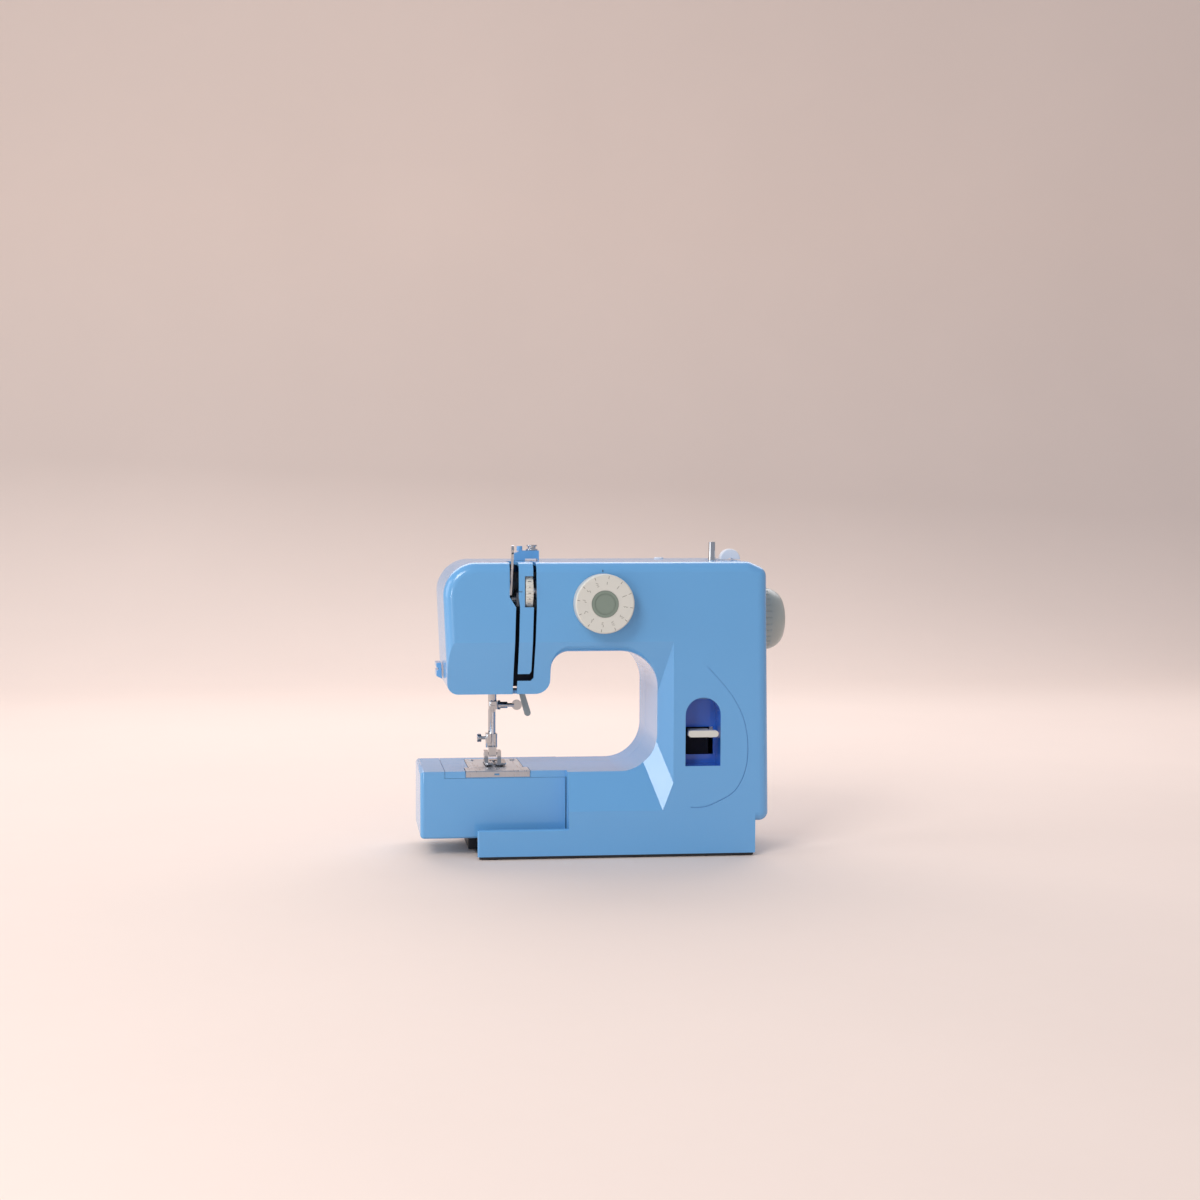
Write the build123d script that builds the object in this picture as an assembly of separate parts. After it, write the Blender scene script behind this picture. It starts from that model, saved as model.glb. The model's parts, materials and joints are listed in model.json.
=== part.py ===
from build123d import *
import os
from math import sin, cos, radians, pi

# Compact mechanical free-arm sewing machine, millimetres.
# Working frame: X along the machine (-X needle end, +X handwheel end),
# front faces -Y, +Z up.  Everything is moved at the end so that the
# bounding box centre is at x = y = 0 and the feet stand on z = 0.

# ---------------- driving dimensions ----------------
WALL = 3.0            # cover wall
Y_FRONT, Y_SEAM, Y_BACK = -54.0, 16.0, 54.0
BASE_BACK = 66.0      # rear of the base foot
Z_COVER = 3.0         # lowest edge of the covers
Z_BED = 76.0          # bed and free-arm top
Z_TOP = 261.5         # top of the body
Z_HEAD = 145.5        # underside of the head
Z_THROAT = 183.0      # ceiling of the throat
X_PILLAR = 52.0       # throat side of the pillar
X_ARM0, X_ARM1 = -158.0, -28.0   # free arm end and root
Y_ARM0, Y_ARM1 = -34.0, 50.0     # free arm front and back
Z_ARM = 16.0          # underside of the free arm
X_CAP = -136.4        # seam of the hinged shuttle cover
BEV = 10.0            # set-back of the bevelled recess
SH_Y, SH_Z, SH_R = 8.0, 207.2, 5.0      # upper shaft
LO_Z, LO_R = 48.0, 4.5                  # lower shaft
NX, NY = -89.5, 8.0                     # needle axis
PY = 20.0                               # presser bar axis y
STROKE = 27.0
DIAL_X, DIAL_Z, DIAL_R = 1.2, 225.9, 26.0
WHEEL_R = 28.5
RUN = 0.05            # radial running clearance
parts = {}

# ---------------- helpers ----------------
def box(x0, x1, y0, y1, z0, z1):
    return Pos((x0 + x1) / 2, (y0 + y1) / 2, (z0 + z1) / 2) * Box(x1 - x0, y1 - y0, z1 - z0)

def cx(x0, x1, y, z, r):
    return Pos((x0 + x1) / 2, y, z) * Rot(0, 90, 0) * Cylinder(r, x1 - x0)

def cy(y0, y1, x, z, r):
    return Pos(x, (y0 + y1) / 2, z) * Rot(90, 0, 0) * Cylinder(r, y1 - y0)

def cz(z0, z1, x, y, r):
    return Pos(x, y, (z0 + z1) / 2) * Cylinder(r, z1 - z0)

def prism(pts, y0, y1):
    """XZ polygon extruded along Y."""
    f = make_face(Polyline(*[(x, y0, z) for x, z in pts], close=True))
    return extrude(f, amount=y1 - y0, dir=(0, 1, 0))

def prism_x(pts, x0, x1):
    """YZ polygon extruded along X."""
    f = make_face(Polyline(*[(x0, y, z) for y, z in pts], close=True))
    return extrude(f, amount=x1 - x0, dir=(1, 0, 0))

def rounded(pts, rads, y0, y1):
    """XZ polygon with its own radius at each corner, extruded along Y."""
    s = Plane.XZ * make_face(Polyline(*pts, close=True))
    sol = extrude(s, amount=-(y1 - y0))
    sol = Pos(0, y0, 0) * sol
    for (x, z), r in zip(pts, rads):
        if r > 0:
            e = [e for e in sol.edges().filter_by(Axis.Y)
                 if abs(e.center().X - x) < 0.05 and abs(e.center().Z - z) < 0.05]
            if e:
                sol = fillet(e, r)
    return sol

def soft(sol, edges, rads):
    """Fillet with the largest radius of the list that the kernel accepts."""
    for r in rads:
        try:
            s = fillet(edges, r)
            if s.is_valid and s.volume > 0:
                return s
        except Exception:
            pass
    return sol

def torus_ring(x0, x1, y, z, r0, r1):
    return cx(x0, x1, y, z, r1) - cx(x0 - 1, x1 + 1, y, z, r0)

# ---------------- outer form ----------------
def outline(t):
    """The C-shaped front view, moved in by t."""
    pts = [(138.9 - t, Z_COVER - 5 if t else Z_COVER), (138.9 - t, 30.5 + t), (152.0 - t, 30.5 + t),
           (148.4 - t, 254.5 - 0.45 * t), (133.0 - 0.3 * t, Z_TOP - t), (-139.6 + t, Z_TOP - t),
           (-134.4 + t, Z_HEAD + t), (-44.6 - t, Z_HEAD + t),
           (-42.4 - t, Z_THROAT + t), (X_PILLAR + t, Z_THROAT + t),
           (X_PILLAR + t, Z_BED - t), (X_ARM1 + t, Z_BED - t),
           (X_ARM1 + t, Z_COVER - 5 if t else Z_COVER)]
    rads = [0, 0, max(8 - t, 1), max(9 - t, 1), max(9 - t, 1), 29 - t,
            10 - t, 13 - t, 16 + t, 34 + t, 33 + t, 0, 0]
    return pts, rads

def body(t, y0, y1):
    p, r = outline(t)
    return rounded(p, r, y0, y1)

def recess(dy):
    """Solid that is taken off the front face round the throat: a hipped form
    bounded by the head slope, the pillar slope, the bed slope and a valley."""
    yf = Y_FRONT
    w = box(-200, 90, yf - 20, yf + 30, 20, 215)
    def keep(w, a, b, c):
        # keep y < yf + a*X + b*Z + c
        n = Vector(-a, 1, -b).normalized()
        return split(w, bisect_by=Plane(origin=Vector(0, yf + c, 0), z_dir=n), keep=Keep.BOTTOM)
    k1 = BEV / 46.3
    k2 = BEV / 12.8
    k3 = BEV / 34.0
    w = keep(w, 0, -k1, k1 * 191.8)
    w = keep(w, -k2, 0, k2 * 64.8)
    w = keep(w, 0, k3, -k3 * 42.0)
    w = keep(w, -k2 / 2, k3 / 2, (k2 * 64.8 - k3 * 42.0) / 2 - 3.6)
    w = split(w, bisect_by=Plane(origin=(0, yf + 13.5, 0), z_dir=(0, 1, 0)), keep=Keep.BOTTOM)
    return Pos(0, dy, 0) * w

full = body(0, Y_FRONT, Y_BACK)
outer_front = [e for e in full.edges()
               if abs(e.bounding_box().min.Y - Y_FRONT) < 1e-3 and abs(e.bounding_box().max.Y - Y_FRONT) < 1e-3
               and (e.center().Z > 205 or e.center().X > 141 or (e.center().X < -125 and e.center().Z > 160))]
full = soft(full, outer_front, [9, 8, 7, 6, 5, 4])
outer_back = [e for e in full.edges()
              if abs(e.bounding_box().min.Y - Y_BACK) < 1e-3 and abs(e.bounding_box().max.Y - Y_BACK) < 1e-3
              and e.center().Z > 100]
full = soft(full, outer_back, [6, 5, 4, 3])
arm = box(X_CAP + 0.4, X_ARM1 + 1, Y_ARM0, Y_ARM1, 70.0, Z_BED) + \
      box(X_CAP + 0.4, X_ARM1 + 1, Y_ARM1 - WALL, Y_ARM1, Z_ARM, Z_BED) + \
      box(X_CAP + 0.4, X_ARM1 + 1, -22.8, Y_ARM1, Z_ARM, Z_ARM + WALL)
arm_in = box(X_CAP - 1, X_ARM1 + WALL + 1, Y_ARM0 + WALL, Y_ARM1 - WALL, Z_ARM + WALL, Z_BED - WALL)

W0 = recess(0)
W1 = recess(WALL + 0.4)
cav = body(WALL, Y_FRONT + WALL, Y_BACK - WALL) - W1
# the bed's root face towards the free arm is open inside the arm's section
cav = cav + box(X_ARM1 - 1, X_ARM1 + WALL + 1, Y_ARM0 + WALL, Y_ARM1 - WALL, Z_ARM + WALL, Z_BED - WALL)
shell = full - W0
# bed: nothing of the body stands left of the arm's root except the sloped bed
shell = shell + arm
shell = shell - cav - arm_in
# rail in front of the free arm
rail = box(-108.6, X_ARM1 + 0.5, Y_FRONT, Y_FRONT + 6, Z_COVER, 26.5)
rail = soft(rail, rail.edges().filter_by(Axis.X).sort_by(Axis.Z)[-2:] + rail.edges().filter_by(Axis.Z).sort_by(Axis.X)[:2], [1.5, 1.0])
shell = shell + rail
# rear foot of the base
foot = box(X_ARM1, 138.9, Y_BACK - 1, BASE_BACK, Z_COVER, 30.0) - box(X_ARM1 + WALL, 138.9 - WALL, Y_BACK - WALL - 2, BASE_BACK - WALL, Z_COVER - 1, 30 - WALL)
foot_cut = box(X_ARM1 + WALL, 138.9 - WALL, Y_BACK - 4, Y_BACK + 0.5, Z_COVER - 1, 30 - WALL)
shell = (shell + foot) - foot_cut

# ---------------- openings in the covers ----------------
# head underside: needle bar, presser bar and lifter
shell = shell - box(-108, -50, -6, 46, Z_HEAD - 2, Z_HEAD + WALL + 1)
shell = shell - box(-100, -60, -20, 0, Z_HEAD - 2, Z_HEAD + WALL + 1)
# left thread slot with the take-up lever, wide above and narrow below
slotL = prism([(-80.6, 270), (-72.6, 270), (-72.6, 231), (-71.4, 222.6), (-72.9, 163.0), (-73.3, 140), (-77.0, 140),
               (-76.7, 163.0), (-75.0, 222.6), (-80.6, 231.5)], Y_FRONT - 5, Y_FRONT + 14)
slotT = box(-80.6, -72.6, Y_FRONT - 5, -14, Z_TOP - 8, Z_TOP + 6)
slotR = prism([(-60.0, 270), (-57.4, 270), (-56.6, 222), (-58.8, 160), (-61.2, 157.4), (-73.8, 157.4),
               (-75.4, 160.2), (-75.0, 163.6), (-62.6, 163.6), (-61.0, 166), (-59.4, 222)], Y_FRONT - 5, Y_FRONT + 14)
slotRT = prism_x([(-60, 270), (-60, 250), (-20, 250), (-20, 270)], -60.0, -57.4)
shell = shell - slotL - slotT - slotR - slotRT
# tension wheel window
shell = shell - box(-67.3, -59.2, Y_FRONT - 3, Y_FRONT + 8, 222.6, 249.8)
# dial boss recess
shell = shell - cy(Y_FRONT - 2, Y_FRONT + 8, DIAL_X, DIAL_Z, 6.0)
# reverse lever pocket
PX0, PX1, PZ0, PZ1 = 75.5, 107.1, 81.0, 141.9
pr = (PX1 - PX0) / 2
pc = (PX0 + PX1) / 2
def pocket(t, y0, y1):
    return box(PX0 - t, PX1 + t, y0, y1, PZ0 - t, PZ1 - pr) + cy(y0, y1, pc, PZ1 - pr, pr + t)
pk_wall = pocket(2.0, Y_FRONT + 1.0, Y_FRONT + 24) - pocket(0, Y_FRONT - 1, Y_FRONT + 22)
shell = shell - pocket(0, Y_FRONT - 5, Y_FRONT + 6)
shell = shell + (pk_wall & box(60, 120, Y_FRONT + WALL - 0.5, 0, 60, 160))
shell = shell - box(78.4, 104.9, Y_FRONT + 18, Y_FRONT + 30, 88.4, 113.2)
# shallow D-shaped step round the pocket
dpts = [(95.3, 169.2), (111.8, 150.9), (121.4, 137.0), (128.8, 119.6), (131.8, 100.5), (130.9, 82.2), (126.6, 68.3), (117.9, 56.1), (107.4, 50.0), (96.1, 45.2), (80.5, 44.2)]
arc = Spline(*[(x, Y_FRONT - 1, z) for x, z in dpts])
arc2 = Spline(*[(pc + (x - pc) * 0.985, Y_FRONT - 1, 105 + (z - 105) * 0.985) for x, z in reversed(dpts)])
gf = make_face([arc, arc2, Line(arc @ 1, arc2 @ 0), Line(arc2 @ 1, arc @ 0)])
groove = extrude(gf, amount=1.8, dir=(0, 1, 0))
shell = shell - groove
# handwheel shaft hole, winder slot, spool pin hole, switch and inlet windows
shell = shell - cx(140, 156, SH_Y, SH_Z, 9.0)
shell = shell - box(103.5, 117.0, -4.5, 4.5, Z_TOP - 6, Z_TOP + 3)
shell = shell - cz(Z_TOP - 8, Z_TOP + 3, 68.0, 40.0, 4.4)
shell = shell - box(146, 156, -10, 12, 60, 76)
shell = shell - box(146, 156, -14, 16, 84, 106)
# needle plate seat, cover plate seat
shell = shell - box(-114, -64, -12, 40, 74.2, 80) - box(-108, -70, -8, 34, 70, 80)
shell = shell - box(-118, -60, Y_ARM0 - 1, -12, 74.2, 80) - box(-112, -66, -31, -12, 70, 80) - box(-118, -60, Y_ARM0 - 1, Y_ARM0 + 1.2, 70.5, 80)

front_cover = shell & box(-200, 200, -80, Y_SEAM - 0.15, -10, 300)
rear_cover = shell & box(-200, 200, Y_SEAM + 0.15, 90, -10, 300)

def biggest(s, keep=1):
    sols = sorted(s.solids(), key=lambda v: -v.volume)
    return sols[0] if keep == 1 else Compound(sols[:keep])

parts["front_cover"] = biggest(front_cover)
parts["rear_cover"] = biggest(rear_cover)
print("cover solids", [round(s.volume) for s in front_cover.solids()], [round(s.volume) for s in rear_cover.solids()])

# ---------------- base ----------------
pan = box(-107, 137.5, Y_FRONT + 1.5, Y_ARM1 - 0.5, 0.8, 2.9) + box(X_ARM1 + 1.5, 137.5, Y_ARM1 - 1, BASE_BACK - 1.5, 0.8, 2.9)
ped = box(-113, X_ARM1 - 0.6, -4, Y_ARM1, 0.8, Z_ARM - 0.1)
parts["base_pan"] = biggest(pan + ped)
parts["rubber_feet"] = Compound([cz(0, 0.8, x, y, 9) for x in (-95, 125) for y in (-42, 38)])

# ---------------- hinged shuttle cover (arm end cap and front panel) ----------------
cap = box(X_ARM0, X_CAP, Y_ARM0, Y_ARM1, Z_ARM, Z_BED) 
cap = soft(cap, cap.edges().filter_by(Axis.Y).sort_by(Axis.X)[:2] + cap.edges().filter_by(Axis.Z).sort_by(Axis.X)[:2], [3.5, 2.5])
cap = cap - box(X_ARM0 + 2.6, X_CAP + 1, Y_ARM0 + 2.6, Y_ARM1 - 2.6, Z_ARM + 2.6, Z_BED - 2.6)
panel = box(X_CAP - 0.5, X_ARM1 - 0.6, Y_ARM0, Y_ARM0 + 2.6, Z_ARM, 69.75)
low = box(X_CAP - 0.5, X_ARM1 - 0.6, Y_ARM0, -26.6, Z_ARM, Z_ARM + 2.2)
door = cap + panel + low
be = [e for e in door.edges().filter_by(Axis.X) if abs(e.center().Y - Y_ARM0) < 0.01 and abs(e.center().Z - Z_ARM) < 0.01]
door = soft(door, be, [2.4, 2.0, 1.5])
HY, HZ = -29.0, 20.6
for xa, xb in ((-128, -120), (-56, -48)):
    door = door + (box(xa, xb, Y_ARM0 + 1, HY + 1.6, HZ - 2.4, HZ + 2.4) - cx(xa - 1, xb + 1, HY, HZ, 1.2 + RUN))
for xa, xb in ((-134.5, -130.0), (-46, -41.5)):
    door = door - box(xa - 1.2, xb + 1.2, Y_ARM0 + 2.61, -20, Z_ARM - 1, HZ + 6)
parts["shuttle_cover"] = biggest(door)
pin = cx(-131.5, -44.5, HY, HZ, 1.2)
ears = None
for xa, xb in ((-134.5, -130.0), (-46, -41.5)):
    e_ = box(xa, xb, HY - 1.75, -21.0, Z_ARM + WALL, HZ + 2.4) - cx(xa - 1, xb + 1, HY, HZ, 1.2)
    ears = e_ if ears is None else ears + e_
parts["cover_hinge_pin"] = biggest(ears + pin)

# ---------------- inner frame ----------------
FY0, FY1 = 27.0, 32.0
fr = box(-122, 132.5, FY0, FY1, 188, 250) + box(60, 132.5, FY0, FY1, 112, 190) + box(60, 72, FY0, FY1, 22, 114)
fr = fr + box(-122, 90, FY0, FY1, 22, 40) + box(-122, -60, FY0, FY1, 148.6 + 0.4, 190) + box(-40, 90, FY0, FY1, 38, 66) - box(-200, 200, 20, 40, 250.5, 300)
for xa, xb, z, h in ((-62, -50, SH_Z, 10), (110, 124, SH_Z, 10)):
    fr = fr + box(xa, xb, -3, FY0 + 1, z - h, z + h)
for xa, xb in ((-38, -28.5), (78, 90)):
    fr = fr + box(xa, xb, -1, FY0 + 1, LO_Z - 9, LO_Z + 9)
for za, zb in ((208, 216), (150.5, 158.5)):
    fr = fr + box(-96, -84, 1, FY0 + 1, za, zb)
for xa, xb in ((-62, -50), (110, 124)):
    fr = fr - cx(xa - 1, xb + 1, SH_Y, SH_Z, 7.5)
for xa, xb in ((-38, -28.5), (78, 90)):
    fr = fr - cx(xa - 1, xb + 1, SH_Y, LO_Z, 6.5)
fr = fr - cz(140, 230, NX, NY, 4.2) - cz(140, 230, NX, PY, 3.5 + RUN)
fr = fr - cy(20, 40, -20, 219, 9) - cy(20, 40, 30, 219, 12) - cy(20, 40, 75, 219, 9) - cy(20, 40, 100, 150, 14)
parts["inner_frame"] = biggest(fr)
bush = ([torus_ring(a, b, SH_Y, SH_Z, SH_R + RUN, 7.5) for a, b in ((-62.5, -49.5), (109.5, 124.5))])
bush += ([torus_ring(a, b, SH_Y, LO_Z, LO_R + RUN, 6.5) for a, b in ((-38.5, -28), (77.5, 90.5))])
bush += [cz(a, b, NX, NY, 4.2) - cz(a - 1, b + 1, NX, NY, 3.2 + RUN) for a, b in ((207.5, 216.5), (150, 159))]
parts["bearing_bushings"] = Compound([b.solids()[0] for b in bush])

# ---------------- main drive ----------------
parts["upper_shaft"] = cx(-74, 170, SH_Y, SH_Z, SH_R)
CR = STROKE / 2
crank = cx(-74.0, -70.3, SH_Y, SH_Z, 17) - cx(-75, -69, SH_Y, SH_Z, SH_R)
crank = crank - box(-75, -69, SH_Y + 9, SH_Y + 20, SH_Z - 30, SH_Z + 30)
parts["crank_counterweight"] = biggest(crank + cx(-80.2, -73.0, SH_Y, SH_Z + CR, 2.5))
parts["needle_bar_link"] = (cx(-79.4, -75.4, SH_Y, SH_Z + CR, 5.2) + cx(-79.4, -75.4, SH_Y, 195, 4.6) +
    box(-79.0, -75.8, SH_Y - 3, SH_Y + 3, 195, SH_Z + CR)) - cx(-81, -74, SH_Y, SH_Z + CR, 2.5 + RUN) - cx(-81, -74, SH_Y, 195, 2.6)
def hull_belt(y1, z1, r1, y2, z2, r2, xa, xb, gap, th):
    """Closed belt loop round two pulleys on X axes."""
    def hull(g):
        d = ((y2 - y1) ** 2 + (z2 - z1) ** 2) ** 0.5
        ey, ez = (y2 - y1) / d, (z2 - z1) / d
        R1, R2 = r1 + g, r2 + g
        c = (R1 - R2) / d
        s = (1 - c * c) ** 0.5
        q = []
        for sg in (1, -1):
            ny, nz = ey * c - sg * ez * s, ez * c + sg * ey * s
            q.append(((y1 + R1 * ny, z1 + R1 * nz), (y2 + R2 * ny, z2 + R2 * nz)))
        poly = prism_x([q[0][0], q[0][1], q[1][1], q[1][0]], xa, xb)
        return poly + cx(xa, xb, y1, z1, R1) + cx(xa, xb, y2, z2, R2)
    outer, inner = hull(gap + th), hull(gap)
    return biggest(outer - Pos(0, 0, 0) * inner)
def toothed(xa, xb, y, z, r, rb, flange=1.6, n=0):
    s = cx(xa, xb, y, z, r) + cx(xa, xa + 1.2, y, z, r + flange) + cx(xb - 1.2, xb, y, z, r + flange)
    return s - cx(xa - 1, xb + 1, y, z, rb)
parts["upper_belt_wheel"] = toothed(95, 105, SH_Y, SH_Z, 14, SH_R)
parts["drive_pulley"] = toothed(134.5, 142.5, SH_Y, SH_Z, 25, SH_R, 1.8)
hw_pts = [(150.4, 0), (150.4, 25.5), (152.2, WHEEL_R - 0.5), (156.0, WHEEL_R), (160.5, WHEEL_R - 0.2), (166.0, 26.8), (171.0, 24.2),
          (174.8, 20.5), (176.8, 15.0), (177.4, 8.0), (177.5, 0)]
hw_line = Polyline((150.4, 0, 0), (150.4, 0, 25.5), (152.2, 0, WHEEL_R - 0.5))
hw_spl = Spline((152.2, 0, WHEEL_R - 0.5), (156.5, 0, WHEEL_R), (163.5, 0, 27.8), (170.5, 0, 24.6), (175.3, 0, 18.5), (177.3, 0, 9.0), (177.5, 0, 0),
                tangents=[(0.9, 0, 0.5), (0, 0, -1)])
hw_f = make_face([hw_line, hw_spl, Line((177.5, 0, 0), (150.4, 0, 0))])
wheel = revolve(hw_f, axis=Axis((0, 0, 0), (1, 0, 0)))
wheel = Pos(0, SH_Y, SH_Z) * wheel
wheel = wheel - cx(140, 171, SH_Y, SH_Z, SH_R)
for k in range(30):
    a = k * 12
    wheel = wheel - Pos(0, SH_Y, SH_Z) * Rot(a, 0, 0) * Pos(157, 0, WHEEL_R + 0.55) * Rot(0, 90, 0) * Cylinder(1.2, 8.0)
parts["handwheel"] = biggest(wheel)

# ---------------- needle bar group ----------------
parts["needle_bar"] = cz(126.5, 246, NX, NY, 3.2) + box(-94.5, -82, NY - 5, NY + 5, 190, 200)
cl = box(NX - 4.1, NX + 4.4, NY - 4.6, NY + 4.6, 126.5, 133.6)
cl = soft(cl, cl.edges().filter_by(Axis.Z), [1.8, 1.2]) - cz(120, 140, NX, NY, 3.2)
scr = cx(NX + 4.4, NX + 6.4, NY, 130, 4.3) + cx(NX + 6.4, NX + 13.0, NY, 130, 3.0) + cx(NX + 13, NX + 17.6, NY, 130, 1.7) \
    + (Pos(NX + 21.6, NY, 130) * Rot(90, 0, 0) * Cylinder(4.6, 2.2)) + cx(NX + 17, NX + 19, NY, 130, 1.7)
parts["clamp_screw"] = scr
nd = cz(104, 126.5, NX, NY, 1.0) + cz(94.5, 104, NX, NY, 0.45)
tip = Pos(NX, NY, 92.25) * Cone(0.08, 0.45, 4.5)
parts["needle"] = nd + tip
parts["needle_clamp"] = biggest(cl + box(NX - 4.1, NX + 1, NY - 6.0, NY - 4.7, 124.5, 130.0) + box(NX - 4.1, NX - 3.2, NY - 6, NY - 3, 126.6, 130) - box(NX - 3, NX, NY - 7, NY - 4.65, 125.6, 127.4) - cz(120, 140, NX, NY, 3.2))

# ---------------- take-up lever ----------------
TY, TZ = -24.0, 228.0
def seg(x0, x1, a, b, w0, w1):
    """Tapered bar between two YZ points."""
    (ay, az), (by, bz) = a, b
    d = ((by - ay) ** 2 + (bz - az) ** 2) ** 0.5
    ny, nz = -(bz - az) / d, (by - ay) / d
    return prism_x([(ay + ny * w0, az + nz * w0), (by + ny * w1, bz + nz * w1), (by - ny * w1, bz - nz * w1), (ay - ny * w0, az - nz * w0)], x0, x1)
tk = seg(-78.4, -76.4, (TY, TZ), (-40.0, 256), 4.0, 2.6) + seg(-78.4, -76.4, (-40, 256), (-45.5, 272.3), 2.6, 2.2) \
    + cx(-78.4, -76.4, TY, TZ, 5.0) + cx(-78.4, -76.4, -40, 256, 2.6) + cx(-78.4, -76.4, -45.5, 272.6, 4.0)
tk = tk - cx(-80, -75, -45.5, 272.6, 1.7) - cx(-80, -75, TY, TZ, 2.0 + RUN)
parts["take_up_lever"] = biggest(tk)
parts["take_up_bracket"] = biggest(box(-72.0, -67.4, TY - 5, -13.5, TZ - 6, TZ + 6) + box(-70.3, -67.4, -14, FY0, TZ + 0.5, TZ + 6) + cx(-82.0, -67.4, TY, TZ, 2.0))

# ---------------- presser group ----------------
parts["presser_bar"] = cz(101.5, 240, NX, PY, 3.5)
parts["presser_spring"] = cz(216.4, 229.5, NX, PY, 5.4) - cz(210, 232, NX, PY, 3.9)
parts["presser_bar"] = parts["presser_bar"] + cz(230, 236, NX, PY, 5.6) + box(-95.5, -84.6, PY - 4.6, PY + 6.6, 176, 184)
hd = box(-95.4, -84.9, PY - 5.2, PY + 5.2, 90.2, 102.6)
hd = soft(hd, hd.edges().filter_by(Axis.Z), [1.6, 1.0]) - cz(101.5, 110, NX, PY, 3.5)
hd = hd - box(-93.2, -87.0, PY - 7, PY - 1.5, 89, 95.0)
hd = hd - cx(-100, -80, PY - 12.0 + 0.0, 86.2, 0.1)
holder = hd
FH = holder
parts["holder_thumb_screw"] = cx(-103.2, -99.4, PY, 98.6, 3.9) + cx(-99.4, -95.4, PY, 98.6, 1.6)
fx, fy = -88.4, 5.0
# foot: sole with two toes and a needle slot, ankle block on a cross pin
FZ = 77.1
sole = box(fx - 9.6, fx + 9.6, fy - 13, fy + 14, FZ, FZ + 2.2)
sole = soft(sole, sole.edges().filter_by(Axis.Z), [2.5, 1.5])
toeup = [e for e in sole.edges().filter_by(Axis.X) if e.center().Y < fy - 12 and e.center().Z < FZ + 0.1]
sole = soft(sole, toeup, [1.2, 0.8])
sole = sole - box(NX - 3.4, NX + 3.4, NY - 2.2, NY + 2.2, FZ - 1, FZ + 4) - box(NX - 1.2, NX + 1.2, fy - 15, NY, FZ - 1, FZ + 4)
pz = 84.6
ank = box(-97.2, -93.6, PY - 14.5 + 6, PY + 1.5, FZ + 2.0, pz + 2.8) + box(-85.4, -81.8, PY - 14.5 + 6, PY + 1.5, FZ + 2.0, pz + 2.8)
foot_s = sole + ank
foot_s = foot_s - cx(-100, -80, PY - 4.0, pz, 1.2)
parts["presser_foot"] = biggest(foot_s + cx(-97.4, -81.6, PY - 4.0, pz, 1.2))
clevis = box(-93.1, -85.9, PY - 6.8, PY + 2.0, 82.0, 90.8) - cx(-100, -80, PY - 4.0, pz, 1.2 + RUN)
parts["foot_holder"] = biggest(FH + clevis)

# ---------------- presser foot lifter ----------------
LX, LZ, LY = -66.5, 158.0, 40.0
def seg_xz(y0, y1, a, b, w0, w1):
    (ax, az), (bx, bz) = a, b
    d = ((bx - ax) ** 2 + (bz - az) ** 2) ** 0.5
    nx, nz = -(bz - az) / d, (bx - ax) / d
    return prism([(ax + nx * w0, az + nz * w0), (bx + nx * w1, bz + nz * w1), (bx - nx * w1, bz - nz * w1), (ax - nx * w0, az - nz * w0)], y0, y1)
lv = seg_xz(38.4, 41.6, (LX, LZ), (-60.0, 137.5), 3.6, 2.6) + seg_xz(38.4, 41.6, (-60.0, 137.5), (-54.6, 118.8), 2.6, 3.0) \
    + cy(38.4, 41.6, LX, LZ, 4.6) + cy(38.4, 41.6, -60.0, 137.5, 2.6) + cy(38.4, 41.6, -54.6, 118.8, 3.0)
lv = lv - cy(30, 45, LX, LZ, 2.0 + RUN)
parts["presser_lifter"] = biggest(lv)
parts["inner_frame"] = biggest(parts["inner_frame"] + cy(FY1 - 1, 43.5, LX, LZ, 2.0))

# ---------------- lower drive, shuttle, feed ----------------
parts["lower_shaft"] = cx(-92.0, 112, SH_Y, LO_Z, LO_R) + toothed(95, 105, SH_Y, LO_Z, 14, LO_R - 1)
hook = torus_ring(-101.0, -92.0, SH_Y, LO_Z, 11.0, 14.6) + (cx(-93.6, -92.0, SH_Y, LO_Z, 14.6))
hook = hook - Pos(-96.5, SH_Y, LO_Z) * Rot(32, 0, 0) * box(-8, 2.6, -3, 3, 6, 20)
parts["shuttle_hook"] = biggest(hook)
race = torus_ring(-103.0, -94.5, SH_Y, LO_Z, 15.0, 16.6) + torus_ring(-103.0, -101.6, SH_Y, LO_Z, 12.4, 16.6)
race = race - box(-104, -90, SH_Y - 5, SH_Y + 5, LO_Z + 9, LO_Z + 20)
parts["shuttle_race"] = biggest(race + (box(-101.0, -96.5, 22.0, FY0, 44, 52) - cx(-110, -90, SH_Y, LO_Z, 15.8)))
case = torus_ring(-106.5, -94.4, SH_Y, LO_Z, 10.3, 10.8) + (cx(-94.9, -94.4, SH_Y, LO_Z, 10.8) - cx(-96, -94, SH_Y, LO_Z, 3))
case = case + box(-106.5, -105.4, SH_Y - 10.5, SH_Y + 10.5, LO_Z + 12.0, LO_Z + 24) * 1 if False else case
case = case - box(-107, -98, SH_Y - 2, SH_Y + 2, LO_Z + 5, LO_Z + 14)
CS = case
bob = (torus_ring(-106.4, -105.4, SH_Y, LO_Z, 3.05, 9.9) + torus_ring(-96.4, -95.4, SH_Y, LO_Z, 3.05, 9.9) + torus_ring(-106.4, -95.4, SH_Y, LO_Z, 3.05, 4.0))
parts["bobbin"] = bob
parts["bobbin_case"] = biggest(CS + cx(-106.4, -94.4, SH_Y, LO_Z, 3.0 - RUN) + cx(-94.9, -94.4, SH_Y, LO_Z, 3.5))
fd = box(-97.2, -93.4, -2, 20, 71.5, 76.5) + box(-86.4, -82.4, -2, 20, 71.5, 76.5) + box(-97.2, -82.4, -2, 3, 68.8, 71.6) + box(-97.2, -82.4, 14, 20, 68.8, 71.6)
for k in range(9):
    yy = -1.0 + k * 2.4
    fd = fd - Pos(-90, yy, 77.0) * Rot(45, 0, 0) * Box(20, 1.2, 1.2)
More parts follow.
